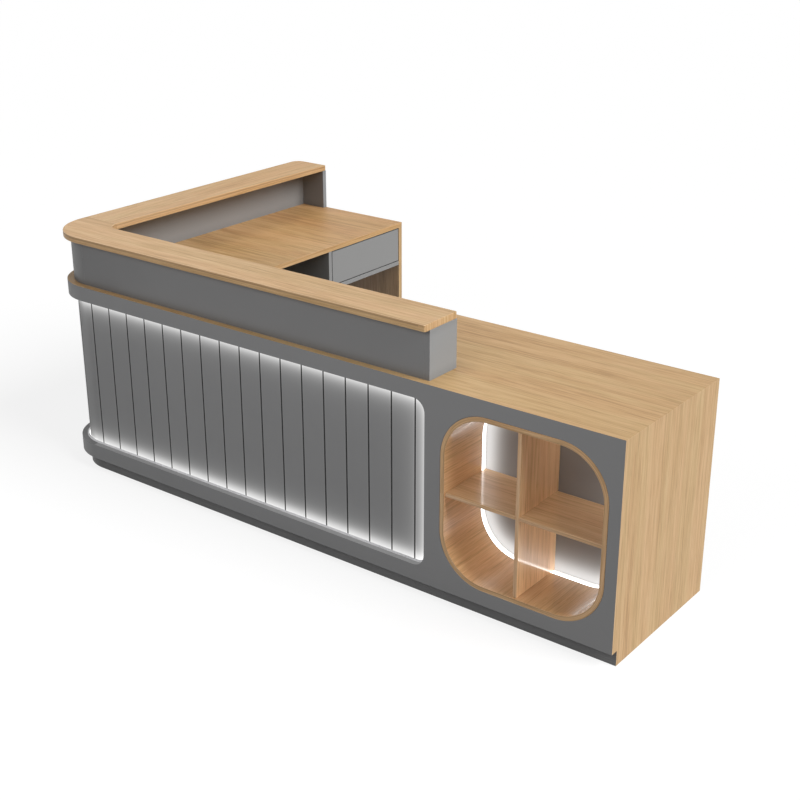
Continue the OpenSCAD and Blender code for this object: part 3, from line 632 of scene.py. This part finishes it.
def oak(name, layout, seed, worn=None, level=False, niche=False, glue=None, light=None,
        shade=steady(1.0), tone_and_shade=steady((1.0, 1.0, 1.0)), contrast=1.0, gloss_and_glow=steady(0.0)):
    """Straight-grained oak veneer under a satin oil; the niche's pieces are glossier.

    worn names the piece whose long edges are rubbed; level marks the boards whose upper
    arris gets a painted highlight; glue is the height of the dark line in a counter's edge.
    """
    s = Shader(name)
    grain, layers = grain_layers(s, layout, seed)
    lines, fibres = layers["lines"], layers["fibres"]
    colour = grain_colour(s, grain, layers, contrast, tone_and_shade)
    flecks = s.fade(s.streaks(grain, (18.0, 330.0, 3.0)), 0.60, 0.74)
    pores = s.times(s.fade(fibres, 0.60, 0.72), s.fade(lines, 0.45, 0.60, 0.4, 1.0))
    brightness = shade(s)
    inside = None
    if niche:
        inside = s.under(s.size(s.ny), FACING_WIDE)
        # Painted light: the niche's front rims are drawn 1.18 times as bright, its inner
        # faces by their piece's painted light and shade.
        brightness = s.pick(inside, 1.18, brightness)
    colour = s.tint(colour, s.plus(brightness, s.times(pores, -0.12), s.times(flecks, -0.13)))
    colour = oak_edges(s, colour, worn, level, glue)
    rough = s.plus(0.20 if niche else 0.40, s.times(fibres, 0.10),
                   s.times(s.noise(s.place, 7.0, 3.0), 0.10))
    height = s.plus(s.times(lines, 0.5), s.times(fibres, 0.5), s.times(pores, -0.8))
    normal = s.bump(height, 0.0002, 0.55)
    if niche:
        return niche_surface(s, colour, rough, normal, inside, gloss_and_glow(s))
    return s.surface(colour, rough, normal, light(s) if light else None, OAK_GLOW,
                     specular_ior_level=0.35)


def lacquer(name, colour, worn=None, gloss=0.40, light=None, scuffed=False, inner=None,
            shade=None, specular=steady(0.25)):
    """Satin lacquer: orange peel, faint clouds, hand marks, and rubbed edges.

    worn names the piece whose long edges are rubbed; inner holds where a piece is drawn
    paler,
    and that colour: the staff side's paler finish on the riser's front and wing, and
    painted light on the right-facing end faces of the riser ends.
    """
    s = Shader(name)
    cloud = s.noise(s.place, 2.2, 3.0)
    speck = s.noise(s.place, 900.0, 1.0)
    shown = s.tint(colour, s.plus(0.965, s.times(cloud, 0.05), s.times(speck, 0.02)))
    if inner:
        shown = s.mix(inner[0](s), shown, inner[1])
    if shade:
        shown = s.tint(shown, shade(s))
    marks = s.noise(s.stretch(s.place, (1.0, 1.0, 2.2)), 5.0, 5.0, 0.62)
    rough = s.plus(gloss - 0.04, s.times(s.fade(marks, 0.45, 0.70), 0.12))
    if worn:
        rubbed = s.times(edge_mask(s, worn, 0.0022), s.noise(s.place, 45.0, 4.0, 0.6))
        pale = tuple(min(1.0, 1.7 * c + 0.05) for c in colour)
        shown = s.mix(s.times(rubbed, 0.55), shown, pale)
    if scuffed:
        low = s.fade(s.z, 0.085, 0.0)
        streak = s.noise(s.stretch(s.place, (3.0, 3.0, 60.0)), 3.0, 4.0, 0.65)
        scuff = s.times(low, s.fade(streak, 0.52, 0.68))
        shown = s.mix(s.times(scuff, 0.30), shown, SCUFF_GREY)
        rough = s.plus(rough, s.times(scuff, 0.2))
    normal = s.bump(s.noise(s.place, 420.0, 2.0), 0.00012, 0.35)
    return s.surface(shown, rough, normal, light(s) if light else None,
                     STRIP_WHITE if light else None, specular_ior_level=specular(s))


def plastic(name, colour, roughness):
    """Moulded plastic with a fine texture."""
    s = Shader(name)
    texture = s.noise(s.place, 1200.0, 2.0)
    shown = s.tint(colour, s.plus(0.95, s.times(s.noise(s.place, 30.0, 3.0), 0.1)))
    rough = s.plus(roughness - 0.05, s.times(texture, 0.1))
    return s.surface(shown, rough, s.bump(texture, 0.00008, 0.5))


def metal(name, colour, roughness, brushing, metallic=1.0, dark=None):
    """Brushed or plated metal; dark gives the share of a point drawn darker, as painted
    shade.
    """
    s = Shader(name)
    brushed = s.streaks(s.place, brushing, 3.0, 0.6)
    bloom = s.noise(s.place, 22.0, 4.0)
    shown = s.tint(colour, s.plus(0.88, s.times(bloom, 0.14), s.times(brushed, 0.08)))
    if dark:
        shown = s.tint(shown, s.plus(1.0, s.times(dark(s), -0.6)))
    rough = s.plus(roughness - 0.08, s.times(brushed, 0.08), s.times(bloom, 0.1))
    return s.surface(shown, rough, s.bump(brushed, 0.00005, 0.4), metallic=metallic)


def softwood(name):
    """Sawn spruce of the hidden battens."""
    s = Shader(name)
    lines = s.streaks(s.place, (60.0, 60.0, 4.0), 3.0, 0.6)
    colour = s.mix(s.fade(lines, 0.35, 0.65), *SPRUCE)
    return s.surface(colour, s.plus(0.65, s.times(lines, 0.15)), s.bump(lines, 0.0005, 0.5))


def opal(name):
    """Opal cover of the light channels, lit from behind by evenly spaced lights."""
    s = Shader(name)
    cells = s.noise(s.place, 120.0, 1.0)
    ring = s.plus(0.72, s.fade(s.y, RING_Y + 0.015, RING_Y + 0.009, 0.0, 2.4))
    light = s.plus(s.pick(in_niche(s), 1.35, ring), s.times(cells, 0.3))
    colour = s.tint(OPAL, s.plus(0.97, s.times(cells, 0.03)))
    return s.surface(colour, s.plus(0.42, s.times(cells, 0.08)), None, light, OPAL_WHITE)


def strip(name):
    """Flexible strip: pale resin with a light every few millimetres."""
    s = Shader(name)
    run = s.plus(s.x, s.plus(s.y, s.z))
    wave = s.math("SINE", s.times(run, 2 * math.pi / STRIP_STEP))
    chip = s.fade(wave, 0.5, 0.9)
    colour = s.mix(chip, STRIP_RESIN, STRIP_LIGHT)
    return s.surface(colour, s.plus(0.45, s.times(chip, 0.1)), None,
                     s.plus(0.5, s.times(chip, 2.0)), CHIP_WHITE)


# For each oak piece: how its grain lies, where in the veneer it is, and its options.
WORKTOP = {"level": True, "shade": worktop_shade, "tone_and_shade": worktop_tone_and_shade, "contrast": 1.05}
COUNTER = {"level": True, "shade": counter_shade, "tone_and_shade": counter_tone_and_shade,
           "glue": COUNTER_GLUE_Z}
OAK_PIECES = {
    "worktop_front": (flat_board, 0.3, WORKTOP),
    "worktop_wing": (flat_board, 0.3, {**WORKTOP, "worn": "worktop_wing"}),
    "end_panel_right": (upright_x, 0.3, {"worn": "end_panel_right"}),
    "end_panel_wing": (upright_y, 5.2, {"worn": "end_panel_wing",
                                        "light": under_drawer_light}),
    "counter_front": (counter_board, 1.7, COUNTER),
    "counter_wing": (flat_board_y, 2.9, {**COUNTER, "worn": "counter_wing"}),
    "niche_liner": (niche_ring, 4.1, {"niche": True, "shade": liner_shade,
                                      "tone_and_shade": steady(LINER_TONE)}),
    "niche_divider": (upright_x, 6.4, {"niche": True, "shade": divider_shade,
                                       "tone_and_shade": steady(NICHE_TONE), "worn": "niche_divider",
                                       "gloss_and_glow": divider_gloss_and_glow}),
    "niche_shelf": (flat_board, 7.7, {"niche": True, "tone_and_shade": steady(NICHE_TONE),
                                      "worn": "niche_shelf"}),
}

# Lacquered pieces that aren't box-shaped boards: their colour and options.
LACQUERED_PIECES = {
    "front_fascia": (GREY, {"gloss": 0.42, "light": window_edge_light}),
    "planks_front": (GREY, {"gloss": 0.42, "light": planks_front_light,
                            "shade": front_grooves}),
    "planks_wing": (GREY, {"gloss": 0.42, "light": planks_wing_light,
                           "shade": wing_grooves}),
    "planks_corner": (GREY, {"gloss": 0.42, "light": planks_corner_light,
                             "shade": planks_corner_shade, "specular": corner_specular}),
    "niche_back": (GREY, {"gloss": 0.42, "light": niche_back_light}),
    "riser_corner": (RISER_GREY, {"shade": riser_corner_shade,
                                  "specular": corner_specular}),
    "corner_bands": (GREY, {"shade": corner_band_shade, "specular": corner_specular}),
}

# Lacquered or foiled boards, which get rubbed edges: colour, gloss and options.
RISER = {"shade": riser_shade}
BOARDS = {
    "riser_front": (RISER_GREY, 0.40, {**RISER, "inner": (faces_back, PALE_GREY)}),
    "riser_wing": (RISER_GREY, 0.40, {**RISER, "inner": (faces_right, PALE_GREY)}),
    # The riser ends' right-facing faces are drawn in a paler, bluer grey, as painted light.
    "riser_ends": (RISER_GREY, 0.40, {**RISER, "inner": (faces_right, LIT_END_GREY)}),
    "wing_fascia": (GREY, 0.40, {}),
    "drawer_deck": (BOARD_GREY, 0.45, {"shade": gap_under_drawer}),
    "drawer_front": (BOARD_GREY, 0.45, {"shade": gap_round_drawer}),
    "drawer_box": (DRAWER_FOIL, 0.45, {}),
}
for inner_board in ("riser_dividers", "modesty_front", "modesty_wing", "gable_corner",
                    "gable_niche", "gable_drawer", "cupboard_floor", "cupboard_shelf",
                    "door_left", "door_right"):
    BOARDS[inner_board] = (BOARD_GREY, 0.45, {})


def materials_of_pieces():
    """Materials of the pieces that have one of their own."""
    made = {}
    for node, (layout, seed, options) in OAK_PIECES.items():
        made[node] = oak("oak_" + node, layout, seed, **options)
    for node, (colour, options) in LACQUERED_PIECES.items():
        made[node] = lacquer("lacquer_" + node, colour, **options)
    for node, (colour, gloss, options) in BOARDS.items():
        made[node] = lacquer("board_" + node, colour, node, gloss, **options)
    return made


def materials_of_slots():
    """Materials of the other pieces, by the slot that they have in the model."""
    return {
        "plinth_grey": lacquer("plinth_matte", PLINTH, gloss=0.55, scuffed=True),
        "inner_board": lacquer("inner_board_satin", BOARD_GREY, gloss=0.45),
        "drawer_white": lacquer("drawer_foil", DRAWER_FOIL, gloss=0.45),
        "softwood": softwood("spruce"),
        # The anodised channels in the niche are drawn darker, as painted shade.
        "aluminium_profile": metal("anodised", ANODISED, 0.50, (30, 30, 900),
                                   metallic=0.35, dark=in_niche),
        "light_strip": strip("strip_resin"),
        "opal_cover": opal("opal_lit"),
        "zinc_steel": metal("zinc_plate", ZINC, 0.36, (200, 200, 200)),
        "black_plastic": plastic("plastic_black", BLACK_PLASTIC, 0.45),
        "grey_plastic": plastic("plastic_grey", GREY_PLASTIC, 0.45),
        "white_plastic": plastic("plastic_white", WHITE_PLASTIC, 0.42),
    }


def dress():
    """Gives every CAD node its material."""
    own = materials_of_pieces()
    shared = materials_of_slots()
    for node, ob in nodes.items():
        ob.data.materials.clear()
        ob.data.materials.append(own.get(node) or shared[slots[node]])


def soften(ob, width):
    """Rounds a board's sharp edges a little; its flat faces stay flat."""
    weld = ob.modifiers.new("weld", "WELD")
    weld.merge_threshold = WELD_DISTANCE
    flat = ob.modifiers.new("flat", "DECIMATE")
    flat.decimate_type = "DISSOLVE"
    flat.angle_limit = FLAT_ANGLE
    bevel = ob.modifiers.new("bevel", "BEVEL")
    bevel.width = width
    bevel.segments = EDGE_SEGMENTS
    bevel.limit_method = "ANGLE"
    bevel.angle_limit = EDGE_ANGLE
    bevel.use_clamp_overlap = True
    even = ob.modifiers.new("even", "WEIGHTED_NORMAL")
    even.keep_sharp = False


def soften_all():
    for width, names in EDGE_WIDTHS.items():
        for name in names:
            soften(nodes[name], width)


def place_in_scene(name, data):
    ob = bpy.data.objects.new(name, data)
    bpy.context.scene.collection.objects.link(ob)
    return ob


def camera():
    data = bpy.data.cameras.new("camera")
    data.sensor_width = CAMERA_SENSOR
    data.lens = CAMERA_LENS
    data.clip_end = CAMERA_FAR
    ob = place_in_scene("camera", data)
    right, up, forward = (Vector(direction) for direction in CAMERA_TURN)
    turn = Matrix((right, up, -forward)).transposed().to_4x4()
    ob.matrix_world = Matrix.Translation(CAMERA_PLACE) @ turn
    bpy.context.scene.camera = ob


def aim(ob, direction):
    """Turns a lamp so that its light comes from a direction."""
    ob.rotation_mode = "QUATERNION"
    ob.rotation_quaternion = direction.to_track_quat("Z", "Y")


def sun(name, direction, strength, angle):
    """A soft lamp far away; direction is where it stands."""
    data = bpy.data.lights.new(name, "SUN")
    data.energy = strength
    data.angle = math.radians(angle)
    aim(place_in_scene(name, data), Vector(direction))


def panel(name, place, target, size, power):
    """A large soft lamp at a place, turned towards a target."""
    data = bpy.data.lights.new(name, "AREA")
    data.shape = "RECTANGLE"
    data.size, data.size_y = size
    data.energy = power
    ob = place_in_scene(name, data)
    ob.location = place
    aim(ob, Vector(place) - Vector(target))


def seen_directly(tree):
    """1 for what the camera, a gloss or a clear piece sees."""
    path = tree.nodes.new("ShaderNodeLightPath")
    total = path.outputs["Is Camera Ray"]
    for name in ("Is Glossy Ray", "Is Transmission Ray"):
        node = tree.nodes.new("ShaderNodeMath")
        node.operation = "MAXIMUM"
        tree.links.new(total, node.inputs[0])
        tree.links.new(path.outputs[name], node.inputs[1])
        total = node.outputs[0]
    return total


def colour_shader(tree, kind, value, strength=None):
    """A plain grey shader of one kind."""
    node = tree.nodes.new(kind)
    node.inputs["Color"].default_value = (value, value, value, 1.0)
    if strength is not None:
        node.inputs["Strength"].default_value = strength
    return node.outputs[0]


def show(tree, kind, indirect, direct):
    """Ends a tree in one shader for what is seen directly and one for the rest."""
    mix = tree.nodes.new("ShaderNodeMixShader")
    for socket, value in zip(mix.inputs, (seen_directly(tree), indirect, direct)):
        tree.links.new(value, socket)
    output = tree.nodes.new(kind)
    tree.links.new(mix.outputs[0], output.inputs[0])


def world():
    """A faint even light from all sides that is white to the eye."""
    made = bpy.data.worlds.new("world")
    made.use_nodes = True
    bpy.context.scene.world = made
    tree = made.node_tree
    tree.nodes.clear()
    show(tree, "ShaderNodeOutputWorld",
         colour_shader(tree, "ShaderNodeBackground", 1.0, SKY_STRENGTH),
         colour_shader(tree, "ShaderNodeBackground", 1.0, 1.0))


def floor():
    """A pale floor: white to the eye, with the desk's shadow left on it."""
    mesh = bpy.data.meshes.new("floor")
    half = FLOOR_HALF
    mesh.from_pydata([(-half, -half, 0), (half, -half, 0), (half, half, 0),
                      (-half, half, 0)], [], [(0, 1, 2, 3)])
    ob = place_in_scene("floor", mesh)
    ob.location.z = -FLOOR_DROP
    material = bpy.data.materials.new("floor_white")
    material.use_nodes = True
    tree = material.node_tree
    tree.nodes.clear()
    both = tree.nodes.new("ShaderNodeAddShader")
    tree.links.new(colour_shader(tree, "ShaderNodeBsdfDiffuse", FLOOR_SEEN), both.inputs[0])
    tree.links.new(colour_shader(tree, "ShaderNodeEmission", 1.0, FLOOR_LIGHT),
                   both.inputs[1])
    show(tree, "ShaderNodeOutputMaterial",
         colour_shader(tree, "ShaderNodeBsdfDiffuse", FLOOR_COLOUR), both.outputs[0])
    mesh.materials.append(material)


dress()
soften_all()
camera()
world()
floor()
sun("key", **KEY)
panel("front_top", **FRONT_PANEL)
bpy.context.scene.view_settings.view_transform = "Standard"
